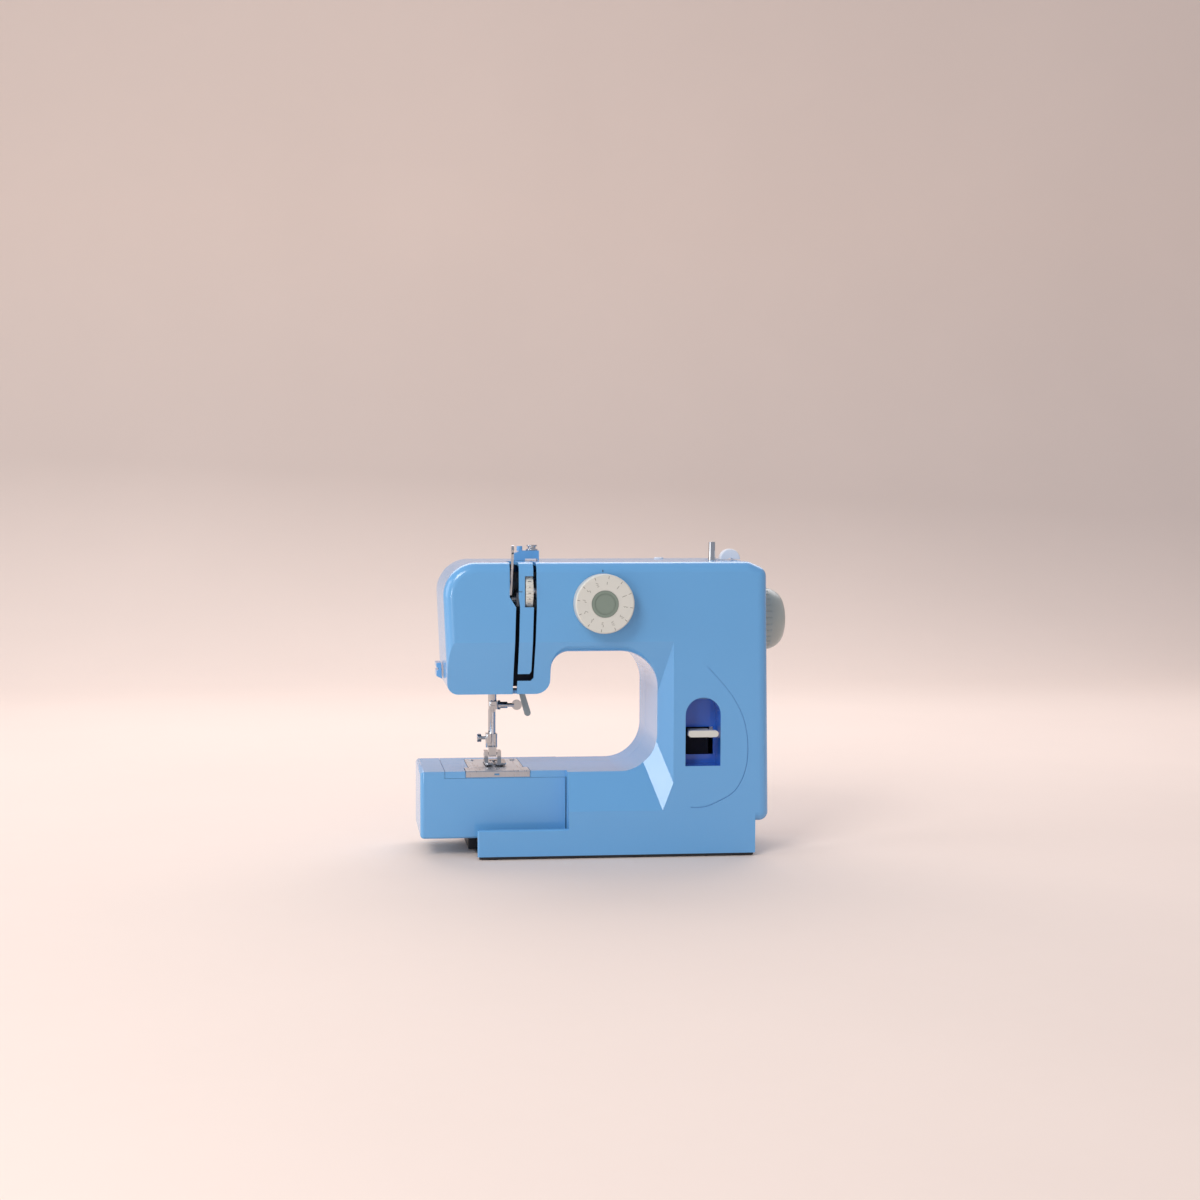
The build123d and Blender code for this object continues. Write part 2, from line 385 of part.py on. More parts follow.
parts["feed_dog"] = biggest(fd + box(-80.5, -74.0, 3.5, 13.5, 62, 66.5) + box(-82.4, -74, 3.5, 13.5, 66.4, 68.6) + box(-97.2, -78.0, 14.2, 20, 66.4, 68.9) + box(-80.5, -78, 3.5, 20, 66.4, 68.6))

# ---------------- needle plate and bobbin cover plate ----------------
npl = box(-113.6, -64.4, -11.6, 39.6, 74.3, 76.1)
npl = soft(npl, npl.edges().filter_by(Axis.Z), [2.5, 1.5])
npl = npl - box(-97.8, -92.8, -3.2, 21.2, 70, 80) - box(-87.0, -81.8, -3.2, 21.2, 70, 80) - box(-92.4, -87.4, 7.1, 8.9, 70, 80)
for k in range(3):
    npl = npl - box(-78.5 + 3.5 * k, -78.0 + 3.5 * k, -8, 30, 75.9, 77)
parts["needle_plate"] = biggest(npl)
parts["plate_screws"] = Compound([cz(76.1, 76.9, x, y, 2.6) - box(x - 2, x + 2, y - 0.35, y + 0.35, 76.5, 78) for x, y in ((-108, 32), (-70, 32))])
cpl = box(-117.4, -60.6, Y_ARM0 + 0.05, -12.2, 74.3, 76.1) + box(-117.4, -60.6, Y_ARM0 + 0.05, Y_ARM0 + 1.1, 70.7, 76.1)
ce = [e for e in cpl.edges().filter_by(Axis.X) if abs(e.center().Z - 76.1) < 0.01 and e.center().Y < Y_ARM0 + 1]
cpl = soft(cpl, ce, [0.9, 0.6]) - box(-92.2, -87.6, Y_ARM0 - 1, Y_ARM0 + 3.0, 72.2, 73.9)
parts["bobbin_cover_plate"] = biggest(cpl)

# ---------------- belts and motor ----------------
MY, MZ = -30.0, 47.0
parts["shaft_belt"] = hull_belt(SH_Y, LO_Z, 14, SH_Y, SH_Z, 14, 96.6, 103.4, 0.3, 1.3)
parts["motor_belt"] = hull_belt(MY, MZ, 6, SH_Y, SH_Z, 25, 136.2, 140.8, 0.3, 1.6)
mot = cx(72, 128, MY, MZ, 17.5)
mot = soft(mot, mot.edges().filter_by(GeomType.CIRCLE), [2.5, 1.5])
mot = mot + cx(128, 131, MY, MZ, 7.5) - cx(100, 135, MY, MZ, 2.55)
MOT = mot
parts["motor_pulley_shaft"] = cx(101, 143.5, MY, MZ, 2.5) + toothed(134.6, 142.4, MY, MZ, 6, 1.5, 1.2)
parts["motor"] = biggest(MOT + box(80, 84, -50.0, -10, 18, 34) + box(108, 112, -50.0, -10, 18, 34) - cx(100, 135, MY, MZ, 2.55))

# ---------------- controls ----------------
dial = cy(Y_FRONT - 14.5, Y_FRONT - 0.6, DIAL_X, DIAL_Z, DIAL_R)
ed = [e for e in dial.edges().filter_by(GeomType.CIRCLE) if e.center().Y < Y_FRONT - 10]
dial = soft(dial, ed, [1.6, 1.0])
dial = dial - cy(Y_FRONT - 16, Y_FRONT - 13.7, DIAL_X, DIAL_Z, 11.9) - cy(Y_FRONT - 6, Y_FRONT + 5, DIAL_X, DIAL_Z, 5.0)
parts["stitch_dial"] = dial
parts["dial_centre_cap"] = cy(Y_FRONT - 14.9, Y_FRONT - 13.7, DIAL_X, DIAL_Z, 11.6)

parts["dial_bracket"] = biggest((box(-12, 14, -32, -28, 212, 250) + box(-12, 14, -28, FY0, 246, 250)) - cy(-40, -20, DIAL_X, DIAL_Z, 5.0 + RUN))
parts["stitch_cam_shaft"] = cy(Y_FRONT - 6, -22, DIAL_X, DIAL_Z, 5.0) + cy(-27.4, -22, DIAL_X, DIAL_Z, 13.5)
TWX0, TWX1, TWY, TWZ, TWR = -66.5, -60.0, -41.5, 236.2, 15.0
tw = cx(TWX0, TWX1, TWY, TWZ, TWR)
for k in range(36):
    tw = tw - Pos(0, TWY, TWZ) * Rot(k * 10, 0, 0) * Pos((TWX0 + TWX1) / 2, 0, TWR + 0.35) * Rot(0, 90, 0) * Cylinder(0.8, 10)
tw = tw - cx(TWX0 - 1, TWX1 + 1, TWY, TWZ, 2.5 + RUN)
parts["tension_wheel"] = biggest(tw)
parts["tension_bracket"] = biggest(box(-51, -47.0, TWY - 5, FY0 - 38, TWZ - 8, TWZ + 8) + box(-51, -47.0, -12, FY0, TWZ - 2, TWZ + 8) + cx(-68.4, -47.0, TWY, TWZ, 2.5))
parts["tension_discs"] = Compound([torus_ring(a, b, TWY, TWZ, 2.5, 9.0) for a, b in ((-57.0, -56.2), (-55.2, -54.4))])
RX0, RX1, RZ = 78.3, 105.2, 109.5
tab = box(RX0, RX1, Y_FRONT + 0.6, Y_FRONT + 6.0, RZ - 2.9, RZ + 2.9)
tab = soft(tab, tab.edges().filter_by(Axis.Y), [2.6, 2.0])
RY = -16.0
rl = tab + box(82, 100, Y_FRONT + 5.5, RY - 2, RZ - 2.0, RZ + 2.0) + cx(82, 100, RY, RZ, 4.5) - cx(70, 110, RY, RZ, 2.0 + RUN)
parts["reverse_lever"] = biggest(rl)
parts["reverse_bracket"] = biggest(cx(80.5, 106, RY, RZ, 2.0) + box(102.0, 107.5, Y_FRONT + 24, RY + 5.5, RZ - 6.5, RZ + 6.5))
BWX = 109.5
parts["winder_spindle"] = cz(263.9, 277.9, BWX, 0, 3.0) + cz(244, 263.9, BWX, 0, 3.4) + cz(240.0, 246.0, BWX, 0, 9.0)
parts["winder_carriage"] = box(BWX - 11, BWX + 11, -7, 7, 247, 252.5) - cz(240, 260, BWX, 0, 3.4 + RUN)
st = cy(-4.0, 4.0, 125.6, 262.0, 9.6) & box(110, 140, -5, 5, 262.0, 280)
st = st - cy(-5, 5, 125.6, 258.6, 4.6)
st = soft(st, st.edges().filter_by(GeomType.CIRCLE).sort_by(SortBy.LENGTH)[-2:], [1.5, 1.0])
parts["winder_stop"] = biggest(st)

# ---------------- top thread guides ----------------
tg = prism([(-72.0, 261.7), (-49.4, 261.7), (-49.4, 270.6), (-66.0, 270.6), (-72.0, 268.0)], -6.0, 8.0)
tg = tg - box(-62, -50.5, -7, 9, 261.0, 263.4)
tg = tg + cz(270.4, 274.6, -66.5, -1.0, 2.6)
parts["top_thread_guide"] = biggest(tg)
parts["pretension_disc"] = cz(270.7, 272.0, -55.2, 1.0, 5.4) + cz(272.0, 274.3, -55.2, 1.0, 3.6) + cz(274.3, 275.6, -55.2, 1.0, 4.8)

# ---------------- spool pin, screws, cutter, electrics ----------------
parts["spool_pin"] = cz(165, 261.5, 68.0, 40.0, 2.6) + cz(165, 168, 68, 40, 4.6)
parts["spool_pin_guide"] = cz(228, 262.6, 68.0, 40.0, 4.3) - cz(220, 270, 68, 40, 2.6 + 0.1)
cut = prism([(-141.2, 169.0), (-136.6, 169.0), (-135.9, 154.6), (-141.0, 157.0)], 6, 28)
cut = cut - prism([(-142.5, 166.0), (-138.6, 163.4), (-142.5, 161.0)], 5, 29)
parts["thread_cutter"] = biggest(cut - full)
parts["cover_screws"] = Compound([cy(Y_BACK, Y_BACK + 1.6, x, z, 4.0) - box(x - 3, x + 3, Y_BACK + 1.0, Y_BACK + 3, z - 0.5, z + 0.5) - box(x - 0.5, x + 0.5, Y_BACK + 1.0, Y_BACK + 3, z - 3, z + 3)
                               for x, z in ((-118, 236), (-118, 166), (20, 236), (132, 236), (132, 120))])
sw = box(149.0, 152.6, -9.2, 11.2, 60.6, 75.4)
parts["power_switch_frame"] = biggest((box(145.2, 152.8, -9.9, 11.9, 60.1, 75.9) - box(144, 154, -7.4, 9.4, 62.6, 73.4)))
rk = prism([(0, 0), (1, 0), (1, 1)], 0, 1)
rock = prism_x([(-7.0, 63.6), (9.0, 63.6), (9.0, 72.4), (-7.0, 72.4)], 147.0, 151.0)
rock = rock + prism([(151.0, 63.6), (153.4, 63.6), (151.0, 72.4)], -7.0, 9.0)
parts["power_switch"] = biggest(rock + cy(-7.3, 9.3, 148.5, 68.0, 1.6))
inl = box(142.6, 152.6, -13.9, 15.9, 84.1, 105.9)
inl = inl - box(145, 154, -10.5, 12.5, 87, 103)
parts["power_inlet"] = biggest(inl)
# ---------------- placement and export ----------------
BX0, BX1 = X_ARM0, 177.5
BY0, BY1 = Y_FRONT - 14.9, BASE_BACK
SHIFT = (-(BX0 + BX1) / 2, -(BY0 + BY1) / 2, 0)
os.makedirs("parts", exist_ok=True)
for f in os.listdir("parts"):
    if f.endswith(".step"):
        os.remove(os.path.join("parts", f))
for name, s in parts.items():
    sols = s.solids()
    out = Pos(*SHIFT) * (sols[0] if len(sols) == 1 else Compound(list(sols)))
    out.label = name
    export_step(out, "parts/%s.step" % name)
print("nodes", len(parts), "shift", SHIFT)
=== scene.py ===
import bpy, bmesh, math, json
from mathutils import Vector, Matrix


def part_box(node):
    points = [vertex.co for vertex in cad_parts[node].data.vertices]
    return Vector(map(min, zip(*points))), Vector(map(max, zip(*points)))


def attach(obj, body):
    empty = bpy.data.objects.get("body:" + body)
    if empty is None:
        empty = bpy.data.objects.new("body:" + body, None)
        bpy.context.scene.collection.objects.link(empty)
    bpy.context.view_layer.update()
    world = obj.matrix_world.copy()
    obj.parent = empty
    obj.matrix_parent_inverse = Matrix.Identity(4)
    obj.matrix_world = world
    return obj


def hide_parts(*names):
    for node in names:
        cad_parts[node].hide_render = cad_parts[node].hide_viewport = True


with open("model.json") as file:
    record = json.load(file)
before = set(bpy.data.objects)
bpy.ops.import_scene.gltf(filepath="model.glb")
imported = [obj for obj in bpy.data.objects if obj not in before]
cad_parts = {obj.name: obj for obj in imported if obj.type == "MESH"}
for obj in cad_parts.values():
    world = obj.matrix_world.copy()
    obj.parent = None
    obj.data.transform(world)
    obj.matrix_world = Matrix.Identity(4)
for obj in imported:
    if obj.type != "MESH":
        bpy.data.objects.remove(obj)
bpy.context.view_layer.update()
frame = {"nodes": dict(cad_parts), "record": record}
N = frame["nodes"]
SC = bpy.context.scene
ROOT = "machine_body"


# ------------------------------------------------------------------ materials
def srgb(r, g, b):
    f = lambda c: (c / 255 / 12.92) if c / 255 <= 0.04045 else ((c / 255 + 0.055) / 1.055) ** 2.4
    return (f(r), f(g), f(b))


def material(name, rgb, rough=0.3, metallic=0.0, tint=0.04, tint_scale=18.0, peel=0.02, peel_scale=900.0,
             rough_var=0.05, rough_scale=60.0, coat=0.0, ior=1.47, spec=0.5, stretch=None, speck=0.0, bump_dist=0.0002, painted_shade_box=None):
    """Procedural surface: soft colour mottling, roughness variation, fine moulded or brushed relief, and optionally
    a darker box of painted shade.
    """
    m = bpy.data.materials.new(name)
    m.use_nodes = True
    nt = m.node_tree
    b = nt.nodes["Principled BSDF"]
    b.inputs["Metallic"].default_value = metallic
    b.inputs["IOR"].default_value = ior
    b.inputs["Specular IOR Level"].default_value = spec
    b.inputs["Coat Weight"].default_value = coat
    b.inputs["Coat Roughness"].default_value = 0.06
    tc = nt.nodes.new("ShaderNodeTexCoord")
    src = tc.outputs["Object"]
    if stretch:
        mp = nt.nodes.new("ShaderNodeMapping")
        mp.inputs["Scale"].default_value = stretch
        nt.links.new(src, mp.inputs["Vector"])
        src = mp.outputs["Vector"]
    n1 = nt.nodes.new("ShaderNodeTexNoise")
    n1.inputs["Scale"].default_value = tint_scale
    n1.inputs["Detail"].default_value = 4
    nt.links.new(src, n1.inputs["Vector"])
    r1 = nt.nodes.new("ShaderNodeValToRGB")
    r1.color_ramp.elements[0].position = 0.3
    r1.color_ramp.elements[1].position = 0.7
    r1.color_ramp.elements[0].color = (*[max(c * (1 - tint), 0) for c in rgb], 1)
    r1.color_ramp.elements[1].color = (*[min(c * (1 + tint), 1) for c in rgb], 1)
    nt.links.new(n1.outputs["Fac"], r1.inputs["Fac"])
    col = r1.outputs["Color"]
    if speck > 0:
        n4 = nt.nodes.new("ShaderNodeTexNoise")
        n4.inputs["Scale"].default_value = 1400
        n4.inputs["Detail"].default_value = 2
        nt.links.new(src, n4.inputs["Vector"])
        mx = nt.nodes.new("ShaderNodeMix")
        mx.data_type = "RGBA"
        r4 = nt.nodes.new("ShaderNodeMapRange")
        r4.inputs["From Min"].default_value = 0.62
        r4.inputs["From Max"].default_value = 0.75
        r4.inputs["To Max"].default_value = speck
        nt.links.new(n4.outputs["Fac"], r4.inputs["Value"])
        nt.links.new(r4.outputs["Result"], mx.inputs["Factor"])
        nt.links.new(col, mx.inputs[6])
        mx.inputs[7].default_value = (*[min(c * 1.8 + 0.03, 1) for c in rgb], 1)
        col = mx.outputs[2]
    if painted_shade_box:
        # painted shade: a darker second colour inside a box given in object space, standing in for the shade in a
        # recess
        b_lo, b_hi, shade_rgb = painted_shade_box
        sp = nt.nodes.new("ShaderNodeSeparateXYZ")
        nt.links.new(tc.outputs["Object"], sp.inputs["Vector"])
        shade_mask = None
        for ax in range(3):
            for op, v in (("GREATER_THAN", b_lo[ax]), ("LESS_THAN", b_hi[ax])):
                q = nt.nodes.new("ShaderNodeMath")
                q.operation = op
                nt.links.new(sp.outputs[ax], q.inputs[0])
                q.inputs[1].default_value = v
                if shade_mask is None:
                    shade_mask = q.outputs[0]
                else:
                    t = nt.nodes.new("ShaderNodeMath")
                    t.operation = "MULTIPLY"
                    nt.links.new(shade_mask, t.inputs[0])
                    nt.links.new(q.outputs[0], t.inputs[1])
                    shade_mask = t.outputs[0]
        mb = nt.nodes.new("ShaderNodeMix")
        mb.data_type = "RGBA"
        nt.links.new(shade_mask, mb.inputs["Factor"])
        nt.links.new(col, mb.inputs[6])
        mb.inputs[7].default_value = (*shade_rgb, 1)
        col = mb.outputs[2]
    nt.links.new(col, b.inputs["Base Color"])
    n2 = nt.nodes.new("ShaderNodeTexNoise")
    n2.inputs["Scale"].default_value = rough_scale
    n2.inputs["Detail"].default_value = 5
    nt.links.new(src, n2.inputs["Vector"])
    mr = nt.nodes.new("ShaderNodeMapRange")
    mr.inputs["From Min"].default_value = 0.3
    mr.inputs["From Max"].default_value = 0.7
    mr.inputs["To Min"].default_value = max(rough - rough_var, 0.02)
    mr.inputs["To Max"].default_value = rough + rough_var
    nt.links.new(n2.outputs["Fac"], mr.inputs["Value"])
    nt.links.new(mr.outputs["Result"], b.inputs["Roughness"])
    n3 = nt.nodes.new("ShaderNodeTexNoise")
    n3.inputs["Scale"].default_value = peel_scale
    n3.inputs["Detail"].default_value = 3
    nt.links.new(src, n3.inputs["Vector"])
    bp = nt.nodes.new("ShaderNodeBump")
    bp.inputs["Strength"].default_value = peel
    bp.inputs["Distance"].default_value = bump_dist
    nt.links.new(n3.outputs["Fac"], bp.inputs["Height"])
    nt.links.new(bp.outputs["Normal"], b.inputs["Normal"])
    return m


F_LO, F_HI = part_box("front_cover")
R_LO, R_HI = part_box("reverse_lever")
# painted shade: the recess round the reverse lever gets a darker blue inside this box, standing in for the shade
# inside it
POCKET_SHADE = ((R_LO.x - 0.0035, F_LO.y + 0.0016, R_LO.z - 0.0300), (R_LO.x + 0.0300, F_LO.y + 0.0270, R_LO.z + 0.0330), srgb(42, 104, 202))
M = {
    "blue_shell": material("blue_shell", srgb(104, 168, 220), rough=0.24, tint=0.012, tint_scale=7, peel=0.012, peel_scale=420, rough_var=0.015, coat=0.5, rough_scale=25, painted_shade_box=POCKET_SHADE),
    "bright_chrome": material("bright_chrome", (0.52, 0.53, 0.55), rough=0.10, metallic=1, tint=0.03, peel=0.02, rough_var=0.04, rough_scale=300),
    "brushed_steel": material("brushed_steel", (0.55, 0.56, 0.59), rough=0.30, metallic=1, tint=0.03, tint_scale=60, stretch=(14, 1, 1), peel=0.03, peel_scale=300, rough_var=0.04),
    "ivory_plastic": material("ivory_plastic", srgb(214, 213, 204), rough=0.36, tint=0.02, peel=0.06, peel_scale=1500, coat=0.1),
    "white_plastic": material("white_plastic", srgb(228, 231, 238), rough=0.28, tint=0.015, peel=0.04, peel_scale=1200, coat=0.15),
    "sage_plastic": material("sage_plastic", srgb(128, 142, 130), rough=0.42, tint=0.03, peel=0.15, peel_scale=2600),
    "grey_plastic": material("grey_plastic", srgb(172, 178, 172), rough=0.32, tint=0.03, peel=0.06, peel_scale=1200, coat=0.15),
    "black_rubber": material("black_rubber", (0.018, 0.018, 0.02), rough=0.75, tint=0.2, peel=0.35, peel_scale=1800, spec=0.3),
    "black_plastic": material("black_plastic", (0.02, 0.02, 0.024), rough=0.5, tint=0.15, peel=0.3, peel_scale=2200),
    "dark_motor": material("dark_motor", (0.05, 0.055, 0.06), rough=0.45, tint=0.1, peel=0.2, peel_scale=1500, speck=0.2),
    "cast_frame": material("cast_frame", (0.42, 0.43, 0.44), rough=0.55, metallic=0.9, tint=0.1, tint_scale=120, peel=0.5, peel_scale=900, bump_dist=0.0003),
    "bronze": material("bronze", (0.50, 0.32, 0.14), rough=0.42, metallic=1, tint=0.12, tint_scale=500, peel=0.25, peel_scale=2500),
    "ink": material("ink", srgb(126, 122, 112), rough=0.6, tint=0.06, peel=0.05),
    "ink_dark": material("ink_dark", srgb(52, 54, 60), rough=0.6, tint=0.06, peel=0.05),
    "slot_dark": material("slot_dark", (0.006, 0.007, 0.014), rough=0.65, tint=0.2, peel=0.1, spec=0.2),
}
slot_of = {s["node"]: s["material_slot"] for s in frame["record"]["subparts"]}
for n, o in N.items():
    o.data.materials.clear()
    o.data.materials.append(M[slot_of[n]])
    for p in o.data.polygons:
        p.material_index = 0

# fine edge rounding on parts whose edges the eye meets
ROUND = {"shuttle_cover": 0.0007, "base_pan": 0.0004, "needle_plate": 0.00025, "clamp_screw": 0.00035, "foot_holder": 0.0004,
         "presser_foot": 0.0003, "holder_thumb_screw": 0.00035, "needle_clamp": 0.0003, "take_up_lever": 0.0004, "presser_lifter": 0.0006,
         "top_thread_guide": 0.0006, "pretension_disc": 0.0003, "winder_spindle": 0.0006, "winder_stop": 0.0007, "power_switch_frame": 0.0004,
         "power_switch": 0.0005, "power_inlet": 0.0005, "dial_centre_cap": 0.0003, "tension_wheel": 0.0003, "thread_cutter": 0.0005,
         "presser_bar": 0.0003, "needle_bar": 0.0004, "cover_screws": 0.0003, "plate_screws": 0.0002, "rubber_feet": 0.0002, "feed_dog": 0.0001,
         "spool_pin": 0.0004, "spool_pin_guide": 0.0004}
for n, w in ROUND.items():
    o = N[n]
    we = o.modifiers.new("weld", "WELD")
    we.merge_threshold = 1e-6
    bv = o.modifiers.new("edge", "BEVEL")
    bv.width = w
    bv.segments = 3
    bv.limit_method = "ANGLE"
    bv.angle_limit = math.radians(40)
    bv.use_clamp_overlap = True
    bv.harden_normals = True


# ------------------------------------------------------------------ piece helpers
def add(name, bm, mat, body=ROOT, smooth=False):
    me = bpy.data.meshes.new(name)
    bmesh.ops.recalc_face_normals(bm, faces=bm.faces)
    bm.to_mesh(me)
    bm.free()
    me.materials.append(M[mat])
    o = bpy.data.objects.new(name, me)
    SC.collection.objects.link(o)
    if smooth:
        for p in me.polygons:
            p.use_smooth = True
    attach(o, body)
    return o


def slab(bm, c, size, rot=None, chamfer=0.0):
    """Rounded block: c centre, size full lengths, rot a Matrix about c."""
    r = bmesh.ops.create_cube(bm, size=1.0)
    vs = r["verts"]
    bmesh.ops.scale(bm, vec=Vector(size), verts=vs)
    if chamfer:
        es = list({e for v in vs for e in v.link_edges})
        r2 = bmesh.ops.bevel(bm, geom=es, offset=chamfer, segments=2, affect="EDGES", profile=0.6)
        vs = list({v for f in r2["faces"] for v in f.verts} | {v for v in vs if v.is_valid})
    if rot is not None:
        bmesh.ops.rotate(bm, cent=(0, 0, 0), matrix=rot, verts=vs)
    bmesh.ops.translate(bm, vec=Vector(c), verts=vs)
    return vs


def ribbon(bm, pts, w, y0, y1, place):
    """Flat line with mitred joints in a local (u, v) plane, thick from y0 to y1; place maps (u, v, y) to 3-D."""
    n = len(pts)
    L, R = [], []
    for i, p in enumerate(pts):
        a = Vector(pts[max(i - 1, 0)])
        b = Vector(pts[min(i + 1, n - 1)])
        d = (b - a)
        d = d / max(d.length, 1e-9)
        nn = Vector((-d.y, d.x)) * (w / 2)
        L.append(Vector(p) + nn)
        R.append(Vector(p) - nn)
    rows = []
    for l, r in zip(L, R):
        rows.append([bm.verts.new(place(l.x, l.y, y0)), bm.verts.new(place(r.x, r.y, y0)), bm.verts.new(place(r.x, r.y, y1)), bm.verts.new(place(l.x, l.y, y1))])
    for a, b in zip(rows, rows[1:]):
        for k in range(4):
            bm.faces.new((a[k], a[(k + 1) % 4], b[(k + 1) % 4], b[k]))
    bm.faces.new(rows[0])
    bm.faces.new(list(reversed(rows[-1])))


# ------------------------------------------------------------------ stitch dial print
lo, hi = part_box("stitch_dial")
dc = Vector(((lo.x + hi.x) / 2, lo.y, (lo.z + hi.z) / 2))
bm = bmesh.new()
symbols = [[(-.8, -.7), (-.8, .7)], [(0, -1.0), (0, 1.0)], [(0, -1.3), (0, 1.3)], [(-.5, -1.2), (.5, -.6), (-.5, 0), (.5, .6), (-.5, 1.2)],
           [(-.8, -1.2), (.8, -.6), (-.8, 0), (.8, .6), (-.8, 1.2)], [(-1.1, -1.2), (1.1, -.6), (-1.1, 0), (1.1, .6), (-1.1, 1.2)],
           [(-.9, -1.2), (.3, -1.2), (.3, 0), (-.9, 0), (-.9, 1.2)], [(0, -1.4), (0, -.5), (.9, -.1), (0, .3), (0, 1.3)],
           [(-.8, -1.1), (.8, 0), (-.8, 1.1)], [(-.7, -1.2), (-.7, -.2), (.8, -.2), (.8, 1.2)], [(0, -1.2), (.9, -.4), (-.9, .4), (0, 1.2)],
           [(-.9, -1.2), (.9, -1.2), (-.9, 0), (.9, 0), (-.9, 1.2)]]
for k in range(12):
    a = math.radians(k * 30 + 8)
    ca, sa = math.cos(a), math.sin(a)
    def place(u, v, y, ca=ca, sa=sa):
        # u tangential, v radial
        return dc + Vector((sa * v + ca * u, y, ca * v - sa * u))
    ribbon(bm, [(0, 0.0222), (0, 0.0246)], 0.00045, -0.00008, 0.0003, place)
    ribbon(bm, [(x * 0.0011, 0.0182 + y * 0.0016) for x, y in symbols[k]], 0.00038, -0.00008, 0.0003, place)
add("dial_marks", bm, "ink", "dial_body")

# centre cap: plain raised ring, no mark
bm = bmesh.new()
lo2, hi2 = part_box("dial_centre_cap")
for r0, r1 in ((0.0086, 0.0091),):
    seg = 72
    rings = []
    for r, y in ((r0, 0.0), (r0 + 0.0001, -0.00012), (r1 - 0.0001, -0.00012), (r1, 0.0)):
        rings.append([bm.verts.new((dc.x + r * math.cos(2 * math.pi * i / seg), lo2.y + y + 0.00012, dc.z + r * math.sin(2 * math.pi * i / seg))) for i in range(seg)])
    for a, b in zip(rings, rings[1:]):
        for i in range(seg):
            bm.faces.new((a[i], a[(i + 1) % seg], b[(i + 1) % seg], b[i]))
add("dial_cap_ring", bm, "sage_plastic", "dial_body", True)

# ------------------------------------------------------------------ index marks on the front
flo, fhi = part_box("front_cover")
tlo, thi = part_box("tension_wheel")
yf = flo.y
bm = bmesh.new()
slab(bm, (tlo.x - 0.0048, yf - 0.00004, (tlo.z + thi.z) / 2), (0.0034, 0.0003, 0.0005))
slab(bm, (dc.x, yf - 0.00004, dc.z + 0.0282), (0.0006, 0.0003, 0.0020))
add("index_marks", bm, "ink_dark", ROOT)
# numbers ring of the tension wheel: short bars round the rim
bm = bmesh.new()
tc_ = Vector(((tlo.x + thi.x) / 2, (tlo.y + thi.y) / 2, (tlo.z + thi.z) / 2))
for k in range(18):
    R = Matrix.Rotation(math.radians(k * 20 + 4), 3, "X")
    p = R @ Vector((0, -0.01503, 0))
    ln = 0.0026 if k % 2 == 0 else 0.0014
    slab(bm, tc_ + p, (ln, 0.0001, 0.0005), rot=R.to_4x4().to_3x3())
add("tension_marks", bm, "ink_dark", "tension_body")

# near-black sheets behind the thread slots and the lever slot: painted shade standing in for the dark inside the
# slots; the lever shutter is a plate riding on the reverse lever, and its near-black colour is also painted shade
def painted_shade_liner(name, x0, x1, y0, y1, z0, z1, body=ROOT):
    bm = bmesh.new()
    slab(bm, ((x0 + x1) / 2, (y0 + y1) / 2, (z0 + z1) / 2), (x1 - x0, y1 - y0, z1 - z0), chamfer=0.0002)
    return add(name, bm, "slot_dark", body)
X0 = tlo.x  # left face of the tension wheel
painted_shade_liner("slot_painted_shade", X0 - 0.0185, X0 + 0.0125, yf + 0.0150, yf + 0.0158, flo.z + 0.149, flo.z + 0.216)
rlo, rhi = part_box("reverse_lever")
painted_shade_liner("lever_shutter", rlo.x + 0.0008, rlo.x + 0.0228, yf + 0.0246, yf + 0.0252, rlo.z - 0.0215, rlo.z + 0.0105, "reverse_body")

# ------------------------------------------------------------------ presser spring as a real coil
slo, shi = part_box("presser_spring")
bm = bmesh.new()
cxs, cys = (slo.x + shi.x) / 2, (slo.y + shi.y) / 2
turns, wr, R0, ns, nc = 6.5, 0.00065, 0.0047, 260, 10
rings = []
for i in range(ns + 1):
    t = i / ns
    a = 2 * math.pi * turns * t
    c = Vector((cxs + R0 * math.cos(a), cys + R0 * math.sin(a), slo.z + wr + (shi.z - slo.z - 2 * wr) * t))
    tan = Vector((-R0 * math.sin(a) * 2 * math.pi * turns, R0 * math.cos(a) * 2 * math.pi * turns, shi.z - slo.z)).normalized()
    u = Vector((math.cos(a), math.sin(a), 0))
    v = tan.cross(u)
    rings.append([bm.verts.new(c + (u * math.cos(2 * math.pi * k / nc) + v * math.sin(2 * math.pi * k / nc)) * wr) for k in range(nc)])
for a, b in zip(rings, rings[1:]):
    for k in range(nc):
        bm.faces.new((a[k], a[(k + 1) % nc], b[(k + 1) % nc], b[k]))
bm.faces.new(rings[0]); bm.faces.new(list(reversed(rings[-1])))
coil = add("presser_spring_coil", bm, "brushed_steel", ROOT, True)
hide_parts("presser_spring")

# ------------------------------------------------------------------ inlet pins, vents
ilo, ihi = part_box("power_inlet")
bm = bmesh.new()
for dy in (-0.006, 0.0, 0.006):
    slab(bm, ((ilo.x + 0.0024 + 0.0022), (ilo.y + ihi.y) / 2 + dy, (ilo.z + ihi.z) / 2 + (0.0025 if dy == 0 else -0.001)), (0.0062, 0.0018, 0.0026), chamfer=0.0003)
add("inlet_contacts", bm, "brushed_steel", ROOT)
blo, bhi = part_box("rear_cover")
# rear vents: thin near-black slabs laid on the rear cover, painted shade standing in for the dark inside of open
# vent slots
bm = bmesh.new()
for k in range(9):
    slab(bm, (blo.x + 0.200 + 0.0058 * k, bhi.y * 0 + (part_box("cover_screws")[0].y) + 0.00002, 0.075), (0.0026, 0.0003, 0.034), chamfer=0.0001)
add("rear_vents_painted_shade", bm, "slot_dark", ROOT)

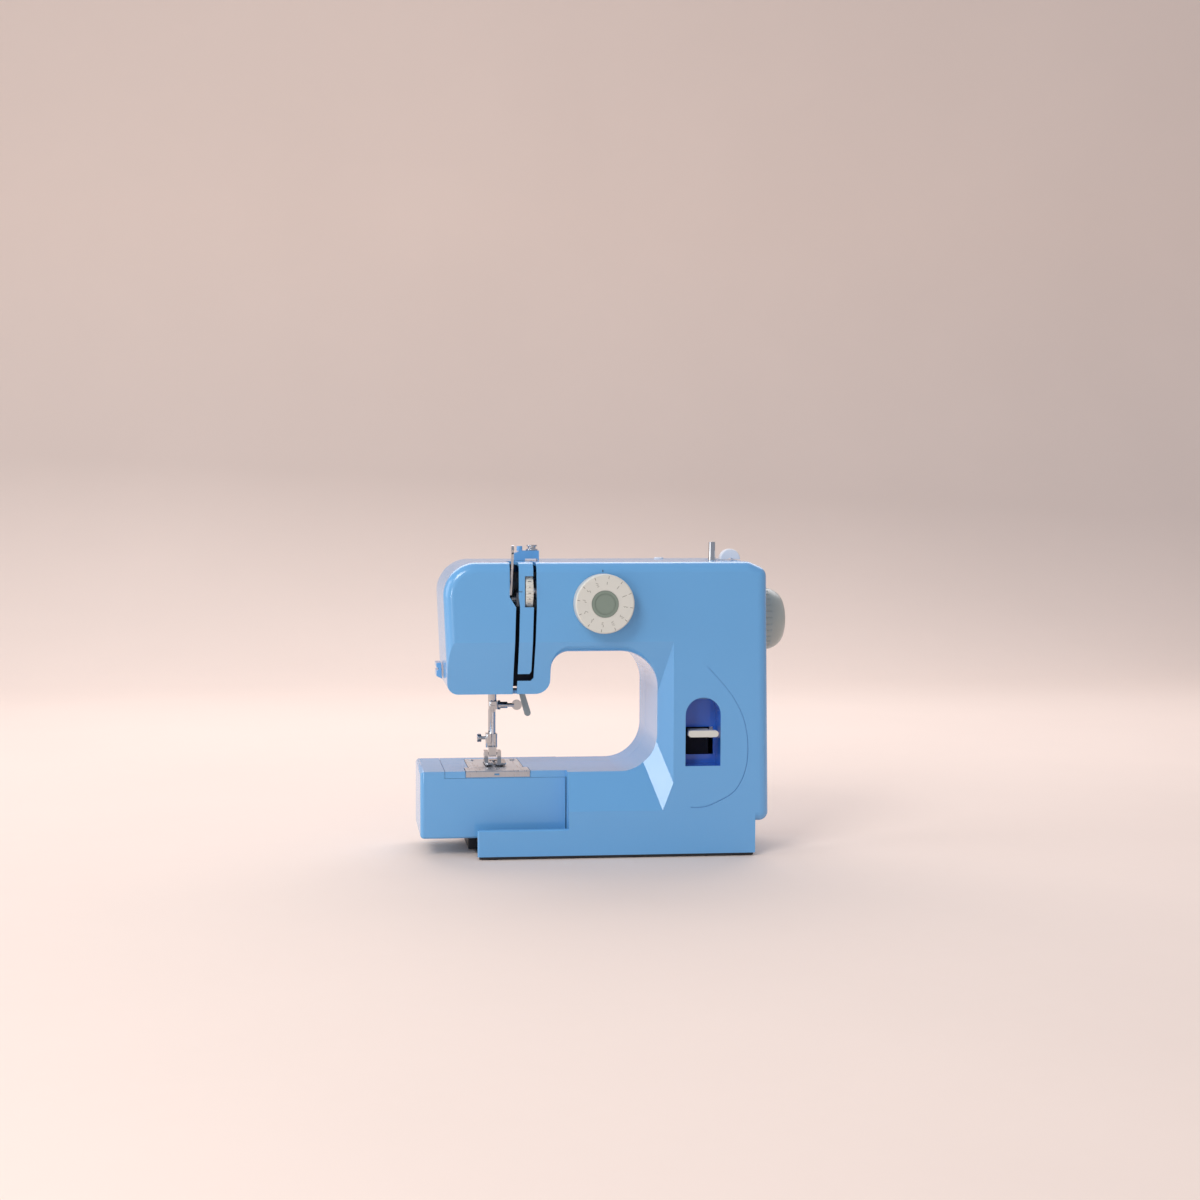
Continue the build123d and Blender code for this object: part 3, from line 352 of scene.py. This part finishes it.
# knurl on the thumb screws
def knurl(name, node, axis, body, r, half, n=22, centre=None):
    lo_, hi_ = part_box(node)
    c = centre if centre is not None else (lo_ + hi_) / 2
    bm = bmesh.new()
    for k in range(n):
        a = 2 * math.pi * k / n
        if axis == "X":
            R = Matrix.Rotation(a, 3, "X"); p = R @ Vector((0, 0, r)); s = (half * 2, 0.0005, 0.0004)
        else:
            R = Matrix.Rotation(a, 3, "Y"); p = R @ Vector((0, 0, r)); s = (0.0005, half * 2, 0.0004)
        slab(bm, c + p, s, rot=R, chamfer=0.0001)
    return add(name, bm, "bright_chrome", body)
klo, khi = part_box("clamp_screw")
knurl("clamp_screw_knurl", "clamp_screw", "Y", "clamp_screw_body", 0.00455, 0.0009, 24, Vector((khi.x - 0.0046, (klo.y + khi.y) / 2, (klo.z + khi.z) / 2)))
hlo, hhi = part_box("holder_thumb_screw")
knurl("holder_screw_knurl", "holder_thumb_screw", "X", "holder_screw_body", 0.0038, 0.0016, 22, Vector((hlo.x + 0.0019, (hlo.y + hhi.y) / 2, (hlo.z + hhi.z) / 2)))

# thread cutter blade
clo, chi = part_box("thread_cutter")
bm = bmesh.new()
slab(bm, (clo.x + 0.0018, (clo.y + chi.y) / 2, (clo.z + chi.z) / 2 + 0.0016), (0.0004, chi.y - clo.y - 0.004, 0.0034), chamfer=0.0001)
add("cutter_blade", bm, "brushed_steel", ROOT)

# ------------------------------------------------------------------ stage
fm = material("floor", srgb(242, 224, 212), rough=0.75, tint=0.012, tint_scale=3, peel=0.02, spec=0.25)
bm = bmesh.new()
prof = [(-9.0, 0.0), (1.3, 0.0)] + [(1.3 + 0.9 * math.sin(math.radians(a)), 0.9 - 0.9 * math.cos(math.radians(a))) for a in range(6, 91, 6)] + [(2.2, 4.0)]
cols = [[bm.verts.new((x, y, z)) for y, z in prof] for x in (-4.5, 4.5)]
for i in range(len(prof) - 1):
    bm.faces.new((cols[0][i], cols[0][i + 1], cols[1][i + 1], cols[1][i]))
me = bpy.data.meshes.new("stage_floor"); bm.to_mesh(me); bm.free()
me.materials.append(fm)
for p in me.polygons: p.use_smooth = True
floor = bpy.data.objects.new("stage_floor", me)
SC.collection.objects.link(floor)

w = bpy.data.worlds.new("studio"); SC.world = w; w.use_nodes = True
w.node_tree.nodes["Background"].inputs[0].default_value = (0.84, 0.88, 1.0, 1)
w.node_tree.nodes["Background"].inputs[1].default_value = 0.52


def area(name, loc, target, sx, sy, power, color=(1, 1, 1)):
    l = bpy.data.lights.new(name, "AREA"); l.shape = "RECTANGLE"; l.size = sx; l.size_y = sy; l.energy = power; l.color = color
    o = bpy.data.objects.new(name, l); SC.collection.objects.link(o)
    o.location = loc
    o.rotation_mode = "QUATERNION"
    o.rotation_quaternion = (Vector(target) - Vector(loc)).to_track_quat("-Z", "Y")
    return o


area("key", (-1.3, -1.7, 1.7), (0, 0, 0.12), 0.9, 0.9, 24, (1.0, 0.97, 0.93))
area("top_back", (0.1, 1.15, 1.25), (0, 0, 0.15), 2.6, 1.1, 19, (0.98, 0.97, 1.0))
area("left_fill", (-2.0, -0.2, 0.7), (0, 0, 0.15), 1.2, 1.2, 11, (1, 0.98, 0.97))

area("facet_kick", (-0.849, -1.465, 0.272), (0.043, -0.05, 0.07), 0.24, 0.24, 2.2, (0.96, 0.97, 1.0))

cam_d = bpy.data.cameras.new("camera"); cam = bpy.data.objects.new("camera", cam_d); SC.collection.objects.link(cam)
SC.camera = cam
CAM = Vector((-0.2495, -1.619, 0.3215))
AIM = Vector((-0.1059, -0.0526, 0.2292))
cam.location = CAM
cam.rotation_mode = "QUATERNION"
cam.rotation_quaternion = (AIM - CAM).to_track_quat("-Z", "Y")
cam_d.sensor_width = 36.0
cam_d.lens = 54.3
cam_d.shift_x = 0.09
cam_d.clip_start, cam_d.clip_end = 0.05, 50
SC.view_settings.view_transform = "Standard"
SC.view_settings.look = "None"
SC.view_settings.exposure = 0.0
